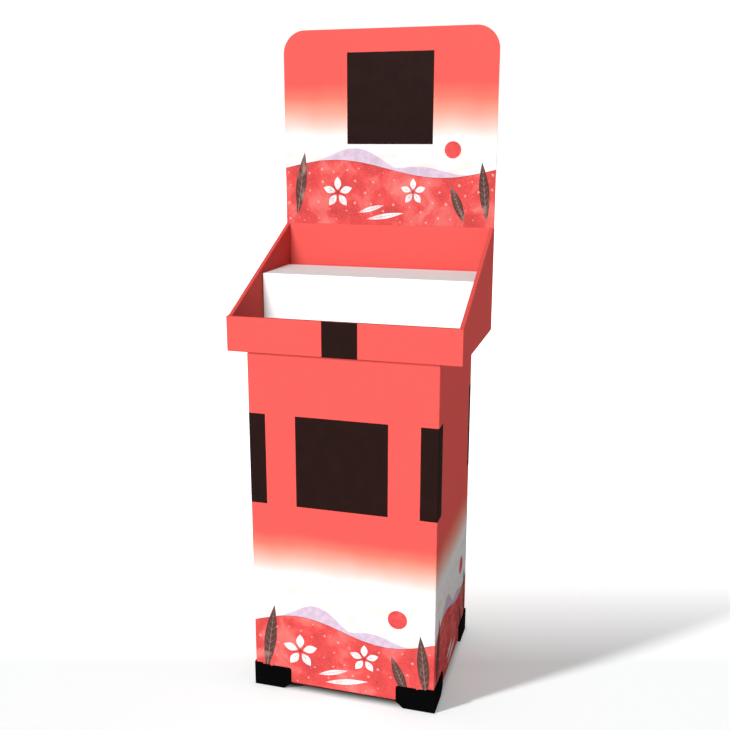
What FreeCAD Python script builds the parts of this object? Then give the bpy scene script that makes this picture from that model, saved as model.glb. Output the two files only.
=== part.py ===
"""Cardboard floor display stand: folded column on corner feet, double-walled tray, header card.

Millimetres. X runs to the right, the front faces -Y and Z is up. The origin is on the floor, under
the middle of the column. Each folded sheet is one solid and each separate piece is one file.
"""
import FreeCAD, Part
import math
import os

V = FreeCAD.Vector

# Board and folds
board = 3.0
fold_radius = 2.5
tuck_gap = 0.2
slot_clearance = 0.4
print_thickness = 0.3

# Column
column_width = 400.0
column_depth = 360.0
column_height = 737.0
top_flap_depth = 110.0
glue_lap_width = 35.0
glue_lap_taper = 12.0
divider_clearance = 1.0

# Corner feet
foot_leg = 85.0
foot_base_height = 16.0
foot_height = 50.0
foot_wall = 3.0
foot_base_width = 20.0
foot_inner_height = 40.0
foot_chamfer_length = 16.0
foot_chamfer_height = 14.0
foot_crest_length = 19.0
foot_crest_height = 3.0
foot_notch_place = 39.0
foot_notch_width = 7.0
foot_notch_depth = 3.0
foot_end_radius = 5.0
foot_rib = 2.5
foot_rib_count = 3
foot_gusset_height = 12.0
foot_flap_clearance = 5.0

# Tray
tray_width = 485.0
lip_height = 73.0
back_height = 230.5
lock_tab_width = 50.0
lip_tab_spacing = 240.0
side_tab_spacing = 170.0
corner_tuck_length = 60.0
tuck_drop = 6.0

# Header card
header_height = 423.5
header_corner_radius = 50.0
header_tab_width = 420.0
header_slot_clearance = 1.0
header_tab_end_clearance = 2.0

# Step insert in the tray
riser_side_gap = 1.5
riser_depth = 153.0
riser_height = 134.0
riser_back_gap = 24.0

# Push rivets between tray and column
rivet_spacing = 240.0
rivet_inset = 21.0
rivet_shank_radius = 3.0
rivet_hole_clearance = 0.3
rivet_head_radius = 8.0
rivet_head_height = 2.0
rivet_barb_radius = 4.6
rivet_barb_height = 6.0
rivet_sides = 12

# Print on the column
square_size = 196.0
column_square_base = 430.0
column_square_shift = -0.5
band_front_width = 36.0
band_side_front_width = 38.0
band_side_rear_width = 20.0
column_picture_height = 234.0
column_fade_height = 110.0

# Print on the header and the lip
header_square_shift = 4.0
header_square_base = 178.5
header_picture_height = 208.5
header_fade_height = 86.0
lip_square_width = 74.0
lip_square_shift = -3.0

# Print motifs: places as shares of the picture's width and height, sizes as shares of its height
hill_edge = 0.60
hill_wave = 0.09
suns = [(0.30, 0.80, 0.09)]
feathers = [(-0.10, 0.06, 0.42, 0.055, 10.0), (-0.14, 0.13, 0.30, 0.05, 16.0)]
leaves = [
    (-0.44, 0.08, 0.70, 0.12, 82.0),
    (0.46, 0.06, 0.62, 0.11, 96.0),
    (0.36, 0.04, 0.42, 0.10, 112.0),
]
blossoms = [(-0.24, 0.34, 0.17), (0.12, 0.36, 0.14)]
blossom_petals = 5
petal_width = 0.55
blossom_eye = 0.16
outline_steps = 16
petal_steps = 10

# Derived places
half_w = column_width / 2
half_d = column_depth / 2
column_base = foot_base_height
column_top = column_base + column_height
tray_half = tray_width / 2
floor_top = column_top + board
wall_band = 3 * board
lip_top = column_top + lip_height
back_top = column_top + back_height
header_front = half_d - 2 * board
header_top = back_top + header_height
riser_width = tray_width - 2 * (wall_band + riser_side_gap)
riser_rear = half_d - wall_band - riser_back_gap
bottom_flap_setback = foot_leg + foot_flap_clearance
bottom_flap_depth = bottom_flap_setback - board - foot_flap_clearance


# Basic solids

def box(x0, x1, y0, y1, z0, z1):
    return Part.makeBox(x1 - x0, y1 - y0, z1 - z0, V(x0, y0, z0))


def prism_x(points, x0, x1):
    """Solid with a (y, z) outline that runs along X."""
    wire = Part.makePolygon([V(x0, y, z) for y, z in points + points[:1]])
    return Part.Face(wire).extrude(V(x1 - x0, 0, 0))


def prism_y(points, y0, y1):
    """Solid with an (x, z) outline that runs along Y."""
    wire = Part.makePolygon([V(x, y0, z) for x, z in points + points[:1]])
    return Part.Face(wire).extrude(V(0, y1 - y0, 0))


def round_edges(shape, radius, is_wanted):
    """Fillets the straight edges whose middle passes the test."""
    edges = [edge for edge in shape.Edges if is_wanted(edge)]
    return shape.makeFillet(radius, edges)


def near(a, b):
    return abs(a - b) < 0.01


def runs_along(edge, axis):
    start, end = edge.Vertexes[0].Point, edge.Vertexes[-1].Point
    step = end - start
    return step.Length > 0.01 and abs(step.dot(axis)) > 0.999 * step.Length


def fuse_all(shapes):
    return shapes[0].fuse(shapes[1:]).removeSplitter()


def turned(shape, quarter_turns, move=V(0, 0, 0)):
    """Copy turned about the Z axis, then moved."""
    copy = shape.copy()
    copy.rotate(V(0, 0, 0), V(0, 0, 1), 90 * quarter_turns)
    copy.translate(move)
    return copy


def mirrored(shape, normal):
    return shape.mirror(V(0, 0, 0), normal)


# The column's four faces as quarter turns from the front, with their distance and width

COLUMN_FACES = [
    (0, V(0, -half_d, 0), column_width),
    (1, V(half_w, 0, 0), column_depth),
    (2, V(0, half_d, 0), column_width),
    (3, V(-half_w, 0, 0), column_depth),
]


# Column

def column_block(z0, z1, grow=0.0):
    """The column's outside with folded corners; the glued corner at the rear left stays sharp."""
    block = box(-half_w - grow, half_w + grow, -half_d - grow, half_d + grow, z0, z1)

    def is_folded(edge):
        middle = edge.CenterOfMass
        return runs_along(edge, V(0, 0, 1)) and not (middle.x < 0 and middle.y > 0)

    return round_edges(block, fold_radius + grow, is_folded)


def top_flap_slits():
    """Mitre cuts between the four top flaps, from the inner corners to the middle opening."""
    reach = (top_flap_depth + board) * math.sqrt(2)
    slit = box(0, reach, -board / 6, board / 6, column_top - board, column_top)
    slits = []
    for sx, sy, angle in [(1, 1, 225), (-1, 1, 315), (-1, -1, 45), (1, -1, 135)]:
        cut = slit.copy()
        cut.rotate(V(0, 0, 0), V(0, 0, 1), angle)
        cut.translate(V(sx * (half_w - board), sy * (half_d - board), 0))
        slits.append(cut)
    return slits


def bottom_flap(face_width):
    """Flap under one wall, folded in at the column's lower edge, and the cut that rounds its fold."""
    half = face_width / 2 - bottom_flap_setback
    flap = box(-half, half, board, board + bottom_flap_depth, column_base, column_base + board)
    corner = box(-half, half, 0, fold_radius, column_base, column_base + fold_radius)
    round_bar = Part.makeCylinder(
        fold_radius, 2 * half, V(-half, fold_radius, column_base + fold_radius), V(1, 0, 0)
    )
    return flap, corner.cut(round_bar)


def glue_lap():
    """Lap of the left wall, glued inside the rear wall, cut back above the foot."""
    low = foot_height + foot_crest_height + glue_lap_taper
    high = column_top - board - glue_lap_taper
    x0 = -half_w + board
    x1 = x0 + glue_lap_width
    outline = [(x0, low), (x1, low + glue_lap_taper), (x1, high - glue_lap_taper), (x0, high)]
    return prism_y(outline, half_d - 2 * board, half_d - board)


def rivet_places():
    return [
        (sx * rivet_spacing / 2, sy * (half_d - rivet_inset))
        for sx in (-1, 1)
        for sy in (-1, 1)
    ]


def rivet_holes():
    radius = rivet_shank_radius + rivet_hole_clearance
    return [
        Part.makeCylinder(radius, 2 * board, V(x, y, column_top - board)) for x, y in rivet_places()
    ]


def column_sleeve():
    sleeve = column_block(column_base, column_top)
    sleeve = round_edges(
        sleeve, fold_radius * 0.8, lambda edge: near(edge.BoundBox.ZMin, column_top)
    )
    inner_x, inner_y = half_w - board, half_d - board
    hollow = box(-inner_x, inner_x, -inner_y, inner_y, column_base, column_top - board)
    open_x, open_y = inner_x - top_flap_depth, inner_y - top_flap_depth
    opening = box(-open_x, open_x, -open_y, open_y, column_top - board, column_top)
    seam = box(-half_w, -inner_x, inner_y - tuck_gap / 2, inner_y + tuck_gap / 2, column_base, column_top)
    sleeve = sleeve.cut([hollow, opening, seam] + top_flap_slits() + rivet_holes())
    flaps = []
    fold_cuts = []
    for turn, place, width in COLUMN_FACES:
        flap, fold_cut = bottom_flap(width)
        flaps.append(turned(flap, turn, place))
        fold_cuts.append(turned(fold_cut, turn, place))
    return fuse_all([sleeve, glue_lap()] + flaps).cut(fold_cuts)


def divider_outline(inner_half):
    """Board between the bottom flaps and the tray, with a raised middle between the top flaps."""
    half = inner_half - divider_clearance
    raised = inner_half - top_flap_depth - divider_clearance
    low = column_base + board
    shoulder = column_top - board
    return [
        (-half, low), (half, low), (half, shoulder), (raised, shoulder),
        (raised, column_top), (-raised, column_top), (-raised, shoulder), (-half, shoulder),
    ]


def divider_slot_height():
    return (column_base + board + column_top) / 2


def divider_long():
    """Runs from side to side, slotted from above."""
    panel = prism_y(divider_outline(half_w - board), -board / 2, board / 2)
    half = board / 2 + slot_clearance / 2
    return panel.cut(box(-half, half, -board, board, divider_slot_height(), column_top + board))


def divider_cross():
    """Runs from front to rear, slotted from below."""
    panel = prism_x(divider_outline(half_d - board), -board / 2, board / 2)
    half = board / 2 + slot_clearance / 2
    return panel.cut(box(-board, board, -half, half, column_base, divider_slot_height()))


# Corner feet

def angle_bar(outer, inner, z0, z1):
    """L-shaped bar: its outer corner is at (-outer, -outer) from the column's corner, and its legs
    end where the foot does; the inner faces are at (inner, inner)."""
    end = foot_leg - foot_wall
    long_leg = box(-outer, end, -outer, inner, z0, z1)
    return long_leg.fuse(box(-outer, inner, -outer, end, z0, z1)).removeSplitter()


def foot_leg_cuts():
    """What is cut from the leg along +X: bottom chamfer, top notch and the step behind the crest."""
    end = foot_leg - foot_wall
    side0, side1 = -2 * foot_wall, foot_base_width
    chamfer = prism_y(
        [(end - foot_chamfer_length, 0), (end, 0), (end, foot_chamfer_height)], side0, side1
    )
    low = foot_height - foot_notch_depth
    middle = foot_notch_place - foot_wall
    half = foot_notch_width / 2
    notch = prism_y(
        [(middle - half, foot_height), (middle, low), (middle + half, foot_height)], side0, 0
    )
    crest_end = foot_crest_length - foot_wall
    top = foot_height + foot_crest_height
    above = box(crest_end, end, side0, 0, foot_height, top)
    corner = box(end - foot_end_radius, end, side0, 0, foot_height - foot_end_radius, foot_height)
    centre = V(end - foot_end_radius, side0, foot_height - foot_end_radius)
    corner = corner.cut(Part.makeCylinder(foot_end_radius, foot_base_width, centre, V(0, 1, 0)))
    return [chamfer, notch, above, corner]


def foot_pockets():
    """Hollows under the base of the leg along +X, with ribs left between them."""
    inner_end = foot_leg - foot_wall - foot_chamfer_length - foot_wall
    first = foot_base_width - foot_wall
    pitch = (inner_end - first + foot_rib) / foot_rib_count
    y0 = 0.0
    y1 = foot_base_width - 2 * foot_wall
    pockets = [box(0, first - foot_wall, y0, y1, 0, foot_base_height - foot_wall)]
    for k in range(foot_rib_count):
        x0 = first + k * pitch
        pockets.append(box(x0, x0 + pitch - foot_rib, y0, y1, 0, foot_base_height - foot_wall))
    return pockets


def foot_gussets():
    """Small triangular ribs that hold the inner skirt of the leg along +X upright."""
    inner = 2 * board
    low, high = foot_base_height, foot_base_height + foot_gusset_height
    outline = [(inner, low), (foot_base_width - foot_wall, low), (inner, high)]
    return [
        prism_x(outline, x, x + foot_rib)
        for x in (foot_base_width + foot_rib, foot_leg - foot_base_width)
    ]


def corner_foot():
    """Foot for the column corner at the local origin, with its legs along +X and +Y."""
    top = foot_height + foot_crest_height
    base = angle_bar(foot_wall, foot_base_width - foot_wall, 0, foot_base_height)
    outer = angle_bar(foot_wall, -print_thickness, foot_base_height, top)
    skirt = angle_bar(-board, 2 * board, foot_base_height, foot_inner_height)
    foot = fuse_all([base, outer, skirt])
    cuts = foot_leg_cuts()
    pockets = foot_pockets()
    foot = foot.cut(cuts + [mirrored(cut, V(1, -1, 0)) for cut in cuts])
    foot = foot.cut(pockets + [mirrored(pocket, V(1, -1, 0)) for pocket in pockets])
    gussets = foot_gussets()
    foot = fuse_all([foot] + gussets + [mirrored(gusset, V(1, -1, 0)) for gusset in gussets])

    def is_outer_corner(edge):
        middle = edge.CenterOfMass
        return runs_along(edge, V(0, 0, 1)) and near(middle.x, -foot_wall) and near(middle.y, -foot_wall)

    return round_edges(foot, foot_wall * 0.9, is_outer_corner)


def feet():
    front_left = corner_foot()
    front_left.translate(V(-half_w, -half_d, 0))
    rear_left = mirrored(front_left, V(0, 1, 0))
    return {
        "foot_front_left": front_left,
        "foot_front_right": mirrored(front_left, V(1, 0, 0)),
        "foot_rear_left": rear_left,
        "foot_rear_right": mirrored(rear_left, V(1, 0, 0)),
    }


# Tray

def slope_top(y):
    """Height of the sides' sloped edge."""
    run = half_d - wall_band
    share = (y + run) / (2 * run)
    return lip_top + share * (back_top - lip_top)


def rolled_wall(half_length, y_out, y_in, top):
    """Straight double wall along X: outer leaf, flat band on top and inner leaf."""
    low, high = min(y_out, y_in), max(y_out, y_in)
    block = box(-half_length, half_length, low, high, floor_top, top)
    block = round_edges(
        block, fold_radius * 0.8, lambda edge: runs_along(edge, V(1, 0, 0)) and near(edge.BoundBox.ZMin, top)
    )
    return block.cut(box(-half_length, half_length, low + board, high - board, floor_top, top - board))


def sloped_wall():
    """Right-hand double wall: a sloped band joins the outer leaf and the inner leaf."""
    run = half_d - wall_band - tuck_gap
    x_in, x_out = tray_half - wall_band, tray_half
    outline = [(-run, floor_top), (run, floor_top), (run, slope_top(run)), (-run, slope_top(-run))]
    block = prism_x(outline, x_in, x_out)

    def is_sloped_edge(edge):
        start, end = edge.Vertexes[0].Point, edge.Vertexes[-1].Point
        return abs(start.y - end.y) > run and abs(start.z - end.z) > board

    block = round_edges(block, fold_radius * 0.8, is_sloped_edge)
    drop = board / math.cos(math.atan2(back_top - lip_top, 2 * (half_d - wall_band)))
    channel = [(-run, floor_top), (run, floor_top), (run, slope_top(run) - drop), (-run, slope_top(-run) - drop)]
    return block.cut(prism_x(channel, x_in + board, x_out - board))


def corner_tuck(front):
    """Ear of the lip or of the back, tucked between the two leaves of the right-hand wall."""
    x0 = tray_half - 2 * board + tuck_gap
    x1 = tray_half - board - tuck_gap
    run = half_d - board
    near_y = -run if front else run
    far_y = near_y + corner_tuck_length if front else near_y - corner_tuck_length
    corner_y = -half_d + wall_band if front else half_d - wall_band
    low = floor_top + tuck_gap
    drop = board + tuck_drop
    outline = [
        (near_y, low), (far_y, low), (far_y, slope_top(far_y) - drop),
        (corner_y, slope_top(corner_y) - drop), (near_y, slope_top(corner_y) - drop),
    ]
    return prism_x(outline, x0, x1)


def lock_tab(inner_face, place, along_x):
    """Tab of an inner leaf that passes through the floor, and the slot round it."""
    half = lock_tab_width / 2
    leaf0, leaf1 = inner_face
    grow = slot_clearance
    low, high = column_top, floor_top + board
    if along_x:
        tab = box(place - half, place + half, leaf0, leaf1, low, high)
        slot = box(place - half - grow, place + half + grow, leaf0 - grow, leaf1 + grow, low, floor_top)
    else:
        tab = box(leaf0, leaf1, place - half, place + half, low, high)
        slot = box(leaf0 - grow, leaf1 + grow, place - half - grow, place + half + grow, low, floor_top)
    return tab, slot


def lock_tabs():
    """Two tabs on every inner leaf, each with the slot that it passes through."""
    pairs = []
    leaf_y = half_d - wall_band
    leaf_x = tray_half - wall_band
    for side in (-1, 1):
        y_face = sorted((side * leaf_y, side * (leaf_y + board)))
        x_face = sorted((side * leaf_x, side * (leaf_x + board)))
        for end in (-0.5, 0.5):
            pairs.append(lock_tab(y_face, end * lip_tab_spacing, True))
            pairs.append(lock_tab(x_face, end * side_tab_spacing, False))
    return [tab for tab, slot in pairs], [slot for tab, slot in pairs]


def tray_tub():
    """Floor and the four outer leaves, folded up from it."""
    tub = box(-tray_half, tray_half, -half_d, half_d, column_top, back_top)
    tub = round_edges(tub, fold_radius, lambda edge: near(edge.BoundBox.ZMax, column_top))
    inner_x, inner_y = tray_half - board, half_d - board
    tub = tub.cut(box(-inner_x, inner_x, -inner_y, inner_y, floor_top, back_top))
    run = half_d - wall_band
    above = [(-half_d, lip_top), (-run, lip_top), (run, back_top), (-half_d, back_top)]
    tub = tub.cut(prism_x(above, -tray_half, tray_half))
    lip_space = box(-inner_x, inner_x, -half_d, -inner_y, lip_top - wall_band, lip_top)
    back_space = box(-inner_x, inner_x, inner_y, half_d, back_top - wall_band, back_top)
    fold_run = run - tuck_gap
    slope_space = prism_x(
        [(-fold_run, slope_top(-fold_run) - wall_band), (fold_run, slope_top(fold_run) - wall_band),
         (fold_run, back_top), (-fold_run, back_top)],
        -tray_half, tray_half,
    )
    slits = []
    for side in (-1, 1):
        x0, x1 = sorted((side * (inner_x - tuck_gap), side * inner_x))
        slits.append(box(x0, x1, -half_d, half_d, floor_top, back_top))
    return tub.cut([lip_space, back_space, slope_space] + slits)


def tray():
    """One folded blank: every wall is doubled over and locked through slots in the floor."""
    x_end = tray_half - board - tuck_gap
    lip = rolled_wall(x_end, -half_d, -half_d + wall_band, lip_top)
    back = rolled_wall(x_end, half_d, half_d - wall_band, back_top)
    ends = []
    for side in (-1, 1):
        x0, x1 = sorted((side * (tray_half - 2 * board - tuck_gap), side * tray_half))
        below_lip, below_back = lip_top - board, back_top - board
        ends.append(box(x0, x1, -half_d + board, -half_d + wall_band, floor_top, below_lip))
        ends.append(box(x0, x1, half_d - wall_band, half_d - board, floor_top, below_back))
    lip = lip.cut(ends)
    back = back.cut(ends)
    right = sloped_wall()
    sides = [right, mirrored(right, V(1, 0, 0))]
    inner_x, inner_y = tray_half - board, half_d - board
    lift = box(-inner_x, inner_x, -inner_y, inner_y, floor_top, floor_top + tuck_gap)
    walls = [wall.cut(lift) for wall in [lip, back] + sides]
    tucks = [corner_tuck(True), corner_tuck(False)]
    tucks += [mirrored(tuck, V(1, 0, 0)) for tuck in tucks]
    tabs, slots = lock_tabs()
    floor_and_leaves = tray_tub().cut(slots + rivet_holes())
    blank = fuse_all([floor_and_leaves] + walls + tucks + tabs)
    half_slot = header_tab_width / 2 + header_slot_clearance
    return blank.cut(box(-half_slot, half_slot, header_front, header_front + board, back_top - wall_band, back_top))


# Header card

def header_card():
    """Card with rounded top corners; its shoulders stand on the tray's back and its tab goes in."""
    radius = header_corner_radius
    card = box(-tray_half, tray_half, header_front, header_front + board, back_top, header_top)

    def is_top_corner(edge):
        return runs_along(edge, V(0, 1, 0)) and near(edge.CenterOfMass.z, header_top)

    card = round_edges(card, radius, is_top_corner)
    half = header_tab_width / 2
    low = floor_top + header_tab_end_clearance
    taper = header_tab_width / 20
    outline = [(-half, back_top), (-half, low + taper), (-half + taper, low)]
    outline += [(-x, z) for x, z in reversed(outline)]
    return fuse_all([card, prism_y(outline, header_front, header_front + board)])


# Step insert

def riser():
    """White folded cap: front, top and rear from one strip, with end flaps between them."""
    half = riser_width / 2
    front, rear = riser_rear - riser_depth, riser_rear
    top = floor_top + riser_height
    strip = box(-half, half, front, rear, floor_top, top)
    strip = round_edges(
        strip, fold_radius, lambda edge: runs_along(edge, V(1, 0, 0)) and near(edge.BoundBox.ZMin, top)
    )
    strip = strip.cut(box(-half, half, front + board, rear - board, floor_top, top - board))
    flap_front, flap_rear = front + board + tuck_gap, rear - board - tuck_gap
    flap = box(half - board, half, flap_front, flap_rear, floor_top, top - board)
    cap = fuse_all([strip, flap, mirrored(flap, V(1, 0, 0))])
    fold_edges = box(half - fold_radius, half, flap_front, flap_rear, top - fold_radius, top)
    bar_length = flap_rear - flap_front
    bar_start = V(half - fold_radius, flap_front, top - fold_radius)
    fold_edges = fold_edges.cut(Part.makeCylinder(fold_radius, bar_length, bar_start, V(0, 1, 0)))
    return cap.cut([fold_edges, mirrored(fold_edges, V(1, 0, 0))])


# Push rivets

def rivet_ring(radius, z):
    turns = [2 * math.pi * k / rivet_sides for k in range(rivet_sides + 1)]
    return Part.makePolygon([V(radius * math.cos(a), radius * math.sin(a), z) for a in turns])


def push_rivet():
    """Rivet on its own axis, with the underside of its head at height zero."""
    grip = 2 * board
    parts = [
        (rivet_head_radius, 0, rivet_head_radius * 0.8, rivet_head_height),
        (rivet_shank_radius, -grip, rivet_shank_radius, 0),
        (rivet_shank_radius / 3, -grip - rivet_barb_height, rivet_barb_radius, -grip),
    ]
    frusta = [
        Part.makeLoft([rivet_ring(low_radius, low), rivet_ring(high_radius, high)], True, True)
        for low_radius, low, high_radius, high in parts
    ]
    return fuse_all(frusta)


def tray_rivets():
    rivet = push_rivet()
    rivets = []
    for x, y in rivet_places():
        copy = rivet.copy()
        copy.translate(V(x, y, floor_top))
        rivets.append(copy)
    return Part.makeCompound(rivets)


# Print: shapes lie on a panel in the XZ plane, with their ink between y = 0 and -print_thickness

def ink(face):
    return face.extrude(V(0, -print_thickness, 0))


def ink_outline(points):
    corners = [V(x, 0, z) for x, z in points]
    return ink(Part.Face(Part.makePolygon(corners + corners[:1])))


def ink_disc(x, z, radius):
    turns = [2 * math.pi * k / outline_steps for k in range(outline_steps)]
    return ink_outline([(x + radius * math.cos(a), z + radius * math.sin(a)) for a in turns])


def ink_leaf(x, z, length, width, angle, steps=outline_steps):
    """Pointed leaf, from its base at (x, z)."""
    half_steps = steps // 2
    shares = [k / half_steps for k in range(half_steps + 1)]
    edge = [(length * t, width / 2 * math.sin(math.pi * t)) for t in shares]
    leaf = ink_outline(edge + [(u, -v) for u, v in edge[-2:0:-1]])
    leaf.rotate(V(0, 0, 0), V(0, 1, 0), -angle)
    leaf.translate(V(x, 0, z))
    return leaf


def ink_hills(width, height):
    """Field of colour below a wavy line, which meets the next face at the height of hill_edge."""
    half = width / 2 - fold_radius
    shares = [k / outline_steps for k in range(outline_steps + 1)]
    wave = [
        (half * (2 * t - 1), height * (hill_edge + hill_wave * math.sin(2 * math.pi * t)))
        for t in shares
    ]
    return ink_outline(wave + [(half, 0), (-half, 0)])


def ink_blossom(x, z, radius):
    """Ring of petals round an open eye."""
    eye = radius * blossom_eye
    length = radius - eye
    petals = []
    for k in range(blossom_petals):
        petal = ink_leaf(eye, 0, length, length * petal_width, 0, petal_steps)
        petal.rotate(V(0, 0, 0), V(0, 1, 0), -90 - 360 * k / blossom_petals)
        petal.translate(V(x, 0, z))
        petals.append(petal)
    return petals


def panel_motifs(width, height, with_blossoms):
    """White, brown and red motifs of one picture, standing on z = 0."""
    def leaf(u, v, length, breadth, angle):
        return ink_leaf(u * width, v * height, length * height, breadth * height, angle)

    white = [leaf(*feather) for feather in feathers]
    if with_blossoms:
        for u, v, radius in blossoms:
            white += ink_blossom(u * width, v * height, radius * height)
    brown = [leaf(*blade) for blade in leaves]
    red = [ink_disc(u * width, v * height, radius * height) for u, v, radius in suns]
    return white, brown, red


def panel_picture(width, height, with_motifs=True, with_blossoms=True):
    """One flat face of the picture, divided into four colours that lie side by side."""
    half = width / 2 - fold_radius
    field = box(-half, half, -print_thickness, 0, 0, height)
    hills = ink_hills(width, height)
    if not with_motifs:
        return {"cream": field.cut(hills).Solids, "red": hills.Solids, "white": [], "brown": []}
    white, brown, red = panel_motifs(width, height, with_blossoms)
    return {
        "cream": field.cut([hills] + white + brown + red).Solids,
        "red": hills.cut(white + brown).Solids + red,
        "white": white,
        "brown": brown,
    }


def placed(solids, quarter_turns, place):
    return [turned(solid, quarter_turns, place) for solid in solids]


def print_ring(z0, z1):
    """Print all round the column between two heights."""
    return column_block(z0, z1, print_thickness).cut(column_block(z0, z1))


def print_corners(z0, z1):
    """The print's strips round the column's four corner folds."""
    ring = print_ring(z0, z1)
    flat_x, flat_y = half_w - fold_radius, half_d - fold_radius
    faces = [
        box(-flat_x, flat_x, -column_depth, column_depth, z0, z1),
        box(-column_width, column_width, -flat_y, flat_y, z0, z1),
    ]
    return ring.cut(faces).Solids


def column_print():
    """Picture round the foot of the column, fading up into the board's colour."""
    picture_top = column_base + column_picture_height
    hill_top = column_base + hill_edge * column_picture_height
    half_fade = column_fade_height / 2
    solids = {"cream": print_corners(hill_top, picture_top), "red": print_corners(column_base, hill_top)}
    for turn, place, width in COLUMN_FACES:
        is_rear, is_front = place.y > 0, place.y < 0
        picture = panel_picture(width, column_picture_height, not is_rear, is_front)
        for colour, pieces in picture.items():
            lifted = placed(pieces, turn, place + V(0, 0, column_base))
            solids[colour] = solids.get(colour, []) + lifted
    fields = {colour: Part.makeCompound(pieces) for colour, pieces in solids.items()}
    fields["fade_lower"] = print_ring(picture_top, picture_top + half_fade)
    fields["fade_upper"] = print_ring(picture_top + half_fade, picture_top + column_fade_height)
    fields["black"] = column_black()
    return fields


def column_black():
    """Square on the front and a band folded round each corner."""
    z0, z1 = column_square_base, column_square_base + square_size
    ring = print_ring(z0, z1)
    x0 = column_square_shift - square_size / 2
    keep = [box(x0, x0 + square_size, -half_d - board, -half_d + board, z0, z1)]
    x_out, y_out = half_w + board, half_d + board
    for side in (-1, 1):
        x_band = sorted((side * (half_w - band_front_width), side * x_out))
        keep.append(box(*x_band, -y_out, -half_d + fold_radius, z0, z1))
        keep.append(box(*x_band, half_d - fold_radius, y_out, z0, z1))
        x_skin = sorted((side * (half_w - fold_radius), side * x_out))
        keep.append(box(*x_skin, -y_out, -half_d + band_side_front_width, z0, z1))
        keep.append(box(*x_skin, half_d - band_side_rear_width, y_out, z0, z1))
    return ring.common(Part.makeCompound(keep).Solids[0].fuse(keep[1:]))


def header_panel(z0, z1):
    """Print across the whole front of the header between two heights."""
    return box(-tray_half, tray_half, header_front - print_thickness, header_front, z0, z1)


def header_print():
    """The same picture on the header, fading up behind the black square."""
    picture_top = back_top + header_picture_height
    half_fade = header_fade_height / 2
    z0 = back_top + header_square_base
    x0 = header_square_shift - square_size / 2
    square = box(x0, x0 + square_size, header_front - print_thickness, header_front, z0, z0 + square_size)
    picture = panel_picture(tray_width + 2 * fold_radius, header_picture_height)
    fields = {}
    for colour, pieces in picture.items():
        fields[colour] = Part.makeCompound(placed(pieces, 0, V(0, header_front, back_top)))
    fields["fade_lower"] = header_panel(picture_top, picture_top + half_fade)
    fields["fade_upper"] = header_panel(picture_top + half_fade, picture_top + header_fade_height)
    fields = {colour: shape.cut(square) for colour, shape in fields.items()}
    fields["black"] = square
    return fields


def lip_block(x0, x1, grow=0.0):
    """The lip's outside between its lower and upper fold."""
    low, high = column_top - grow, lip_top + grow
    block = box(x0, x1, -half_d - grow, -half_d + wall_band, low, high)
    for radius, z in ((fold_radius, low), (fold_radius * 0.8, high)):
        block = round_edges(
            block, radius + grow,
            lambda edge: near(edge.CenterOfMass.y, -half_d - grow) and near(edge.CenterOfMass.z, z),
        )
    return block


def tray_print():
    """Black square on the lip, taken part of the way round its lower and upper fold."""
    x0 = lip_square_shift - lip_square_width / 2
    x1 = x0 + lip_square_width
    skin = lip_block(x0, x1, print_thickness).cut(lip_block(x0, x1))
    reach = fold_radius / 2
    keep = box(x0, x1, -half_d - board, -half_d + reach, column_top, lip_top)
    return {"black": skin.common(keep)}


# Files

def export(shape, node):
    shape.exportStep(os.path.join("parts", node + ".step"))


def main():
    os.makedirs("parts", exist_ok=True)
    nodes = {
        "column_sleeve": column_sleeve(),
        "divider_long": divider_long(),
        "divider_cross": divider_cross(),
        "tray": tray(),
        "header_card": header_card(),
        "riser": riser(),
        "tray_rivets": tray_rivets(),
    }
    nodes.update(feet())
    for piece, fields in (("column", column_print()), ("header", header_print()), ("tray", tray_print())):
        for colour, shape in fields.items():
            nodes[piece + "_print_" + colour] = shape
    for node, shape in nodes.items():
        export(shape, node)


main()
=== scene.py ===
"""Cardboard display stand: board, ink, plastic and light on the fixed frame of the stand.

Metres, in the frame of the model: X runs to the right, the front faces -Y and Z is up.
"""
import math

import bmesh
import bpy
from bpy.props import FloatProperty, FloatVectorProperty, IntProperty, PointerProperty
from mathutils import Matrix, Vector


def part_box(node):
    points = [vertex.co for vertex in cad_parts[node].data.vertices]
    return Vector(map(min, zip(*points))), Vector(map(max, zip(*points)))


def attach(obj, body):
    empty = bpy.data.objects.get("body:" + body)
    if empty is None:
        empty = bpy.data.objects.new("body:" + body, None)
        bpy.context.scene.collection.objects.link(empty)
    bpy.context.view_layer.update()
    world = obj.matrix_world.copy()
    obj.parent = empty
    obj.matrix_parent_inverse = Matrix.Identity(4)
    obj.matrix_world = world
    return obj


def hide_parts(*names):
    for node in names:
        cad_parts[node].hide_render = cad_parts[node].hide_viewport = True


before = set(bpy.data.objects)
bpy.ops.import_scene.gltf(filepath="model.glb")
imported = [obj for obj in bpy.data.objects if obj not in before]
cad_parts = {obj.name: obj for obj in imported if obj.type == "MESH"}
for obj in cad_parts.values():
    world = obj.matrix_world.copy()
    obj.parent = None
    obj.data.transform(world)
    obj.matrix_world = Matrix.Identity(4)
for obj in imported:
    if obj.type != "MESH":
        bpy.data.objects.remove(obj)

bl_info = {
    "name": "Cardboard display stand",
    "version": (1, 0, 0),
    "blender": (4, 5, 0),
    "location": "View3D > Sidebar > Display stand",
    "description": "Finishes a folded cardboard floor display and lights it",
    "category": "Object",
}

FOOT_NODES = ("foot_front_left", "foot_front_right", "foot_rear_left", "foot_rear_right")
SKY_FIELDS = ("fade_upper", "fade_lower", "cream")

# Boards: thickness, the shaded strip under the tray and the height of the tray's white liner
BOARD_THICKNESS = 0.003
JOINT_SHADE = (0.7488, 0.7516)
FLOOR_LINER = (0.7568, 0.7562)

# Header card
CARD_TAB_WIDTH = 0.42
CARD_CORNER_RADIUS = 0.05
CARD_MEDIUM = 0.00022
CARD_FLUTE_INSET = 0.0003
FLUTE_STEPS = 8

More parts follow.
